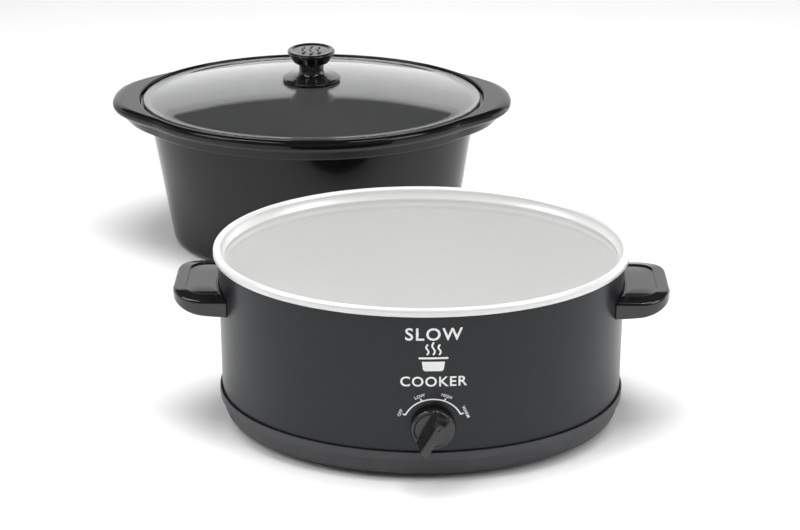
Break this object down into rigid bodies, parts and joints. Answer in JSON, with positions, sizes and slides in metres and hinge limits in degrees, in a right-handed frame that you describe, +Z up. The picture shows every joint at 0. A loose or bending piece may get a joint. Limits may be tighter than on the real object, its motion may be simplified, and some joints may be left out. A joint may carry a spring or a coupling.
{
  "type": "slow cooker",
  "caption": "Oval slow cooker: dark steel heated base with side handles and rotary dial, and a black stoneware crock with a domed glass lid standing beside it.",
  "frame": {"origin": "on the table, under the middle of the heated base, in the plane its feet rest on", "axes": "+X to the right seen from the front, along the long side of the oval; +Y to the back, away from the dial; +Z up"},
  "size_m": [0.5415, 0.7015, 0.2109],
  "materials": {
    "shell_paint": "satin charcoal paint on steel",
    "well_coat": "matt silver-grey coated steel",
    "ring_plastic": "fine satin moulding",
    "cover_steel": "plain galvanised sheet",
    "fastener_steel": "zinc plated",
    "heater_mica": "mica and glass-cloth wrap",
    "shield_foil": "bright",
    "spring_steel": "plain",
    "handle_plastic": "high gloss black phenolic",
    "switch_body": "moulded",
    "brass": "plain",
    "dial_plastic": "satin gloss black",
    "gland_plastic": "satin",
    "cap_plastic": "natural nylon",
    "lead_sleeve": "glass-braid sleeve",
    "fuse_metal": "tinned",
    "foot_rubber": "matt",
    "crock_glaze": "high gloss black glaze",
    "lid_glass": "clear tempered glass",
    "gasket_silicone": "soft matt",
    "print_white": "screen-printed ink",
    "knob_plastic": "high gloss black phenolic"
  },
  "bodies": {
    "base": {"outer_shell": "shell_paint", "inner_liner": "well_coat", "base_ring": "ring_plastic", "bottom_cover": "cover_steel", "cover_screws": "fastener_steel", "liner_stud": "fastener_steel", "stud_washer": "fastener_steel", "stud_nut": "fastener_steel", "heater_band": "heater_mica", "heat_shield": "shield_foil", "heater_spring": "spring_steel", "handle_left": "handle_plastic", "handle_right": "handle_plastic", "handle_screws": "fastener_steel", "rotary_switch": "switch_body", "switch_terminals": "brass", "switch_nut": "fastener_steel", "dial_scale": "print_white", "cord_gland": "gland_plastic", "wire_connectors": "cap_plastic", "supply_lead": "lead_sleeve", "heater_leads": "lead_sleeve", "thermal_fuse": "fuse_metal", "fuse_clip": "spring_steel", "foot_front_left": "foot_rubber", "foot_front_right": "foot_rubber", "foot_back_left": "foot_rubber", "foot_back_right": "foot_rubber"},
    "knob": {"control_knob": "dial_plastic", "switch_shaft": "brass", "knob_clip": "spring_steel"},
    "crock": {"crock": "crock_glaze"},
    "lid": {"lid_glass": "lid_glass", "lid_gasket": "gasket_silicone", "lid_knob": "knob_plastic", "lid_washer": "fastener_steel", "lid_screw": "fastener_steel"}
  },
  "joints": [
    {"name": "knob_turn", "type": "hinge", "parent": "base", "child": "knob", "pos_m": [0.0104, -0.135, 0.0536], "axis": [0, 1, 0], "range_deg": [-94, 38]},
    {"name": "crock_lift", "type": "slide", "parent": "base", "child": "crock", "axis": [0, 0, 1], "range_m": [0, 0.2]},
    {"name": "lid_lift", "type": "slide", "parent": "crock", "child": "lid", "axis": [0, 0, 1], "range_m": [0, 0.12]}
  ]
}
